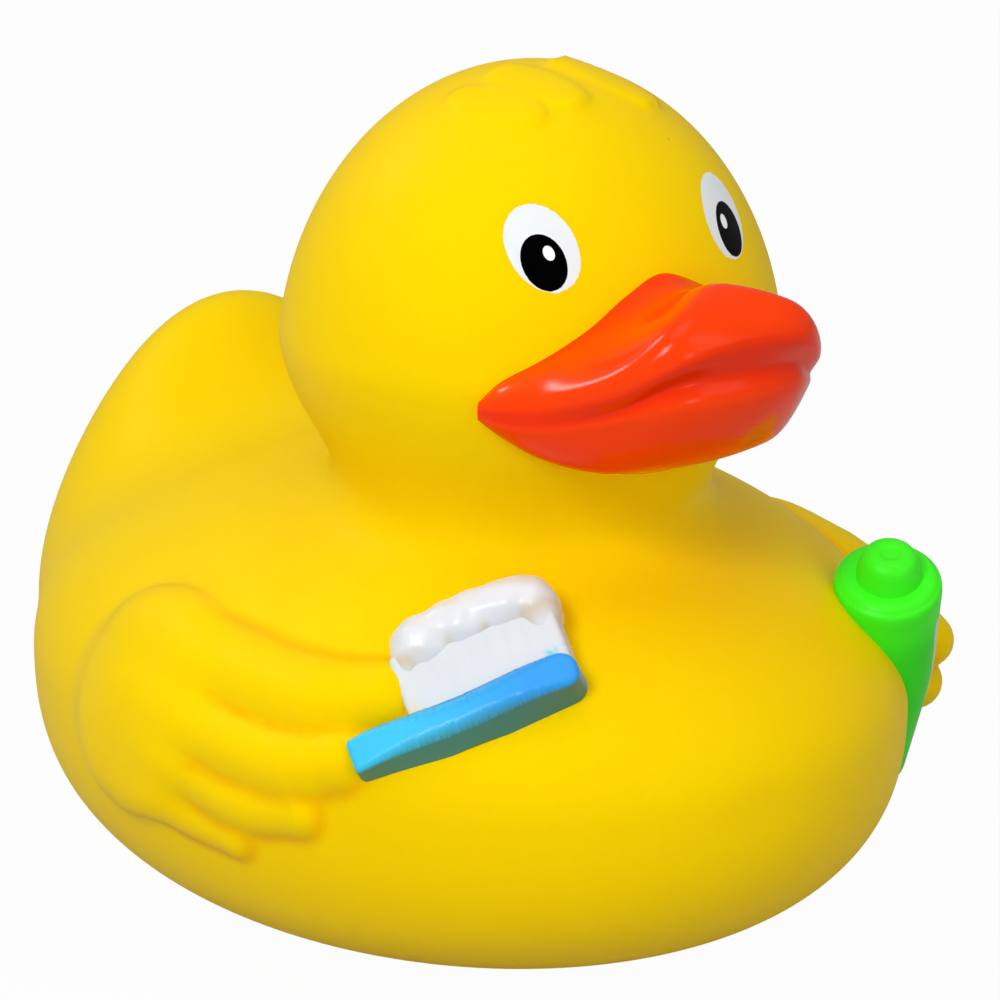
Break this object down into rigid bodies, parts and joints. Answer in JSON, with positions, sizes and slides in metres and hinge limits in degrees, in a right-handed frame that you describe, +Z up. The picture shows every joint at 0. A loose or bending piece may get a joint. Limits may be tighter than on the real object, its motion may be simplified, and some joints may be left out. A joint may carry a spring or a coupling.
{
  "type": "rubber duck",
  "caption": "Hollow soft vinyl bath duck whose wings hold a toothbrush with paste on it and a tube of toothpaste, with a flat base to float or stand on.",
  "frame": {"origin": "on the surface the duck stands on, under the middle of its bounding box", "axes": "the duck faces -Y, +Z is up, and its right wing with the toothbrush is on the -X side"},
  "size_m": [0.0802, 0.0998, 0.0821],
  "materials": {
    "yellow_vinyl": "satin soft vinyl, with sprayed orange bill, white and black eyes, blue brush, white bristles and green tube",
    "whistle_plastic": "smooth moulded plastic",
    "orange_paint": "glossy sprayed paint on the bill",
    "blue_paint": "satin sprayed paint on the toothbrush's handle",
    "white_paint": "satin paint on the bristles, the paste and the tube's label",
    "green_paint": "satin sprayed paint on the tube of toothpaste"
  },
  "bodies": {
    "root": {"duck_body": "yellow_vinyl", "squeaker": "whistle_plastic"}
  },
  "joints": []
}
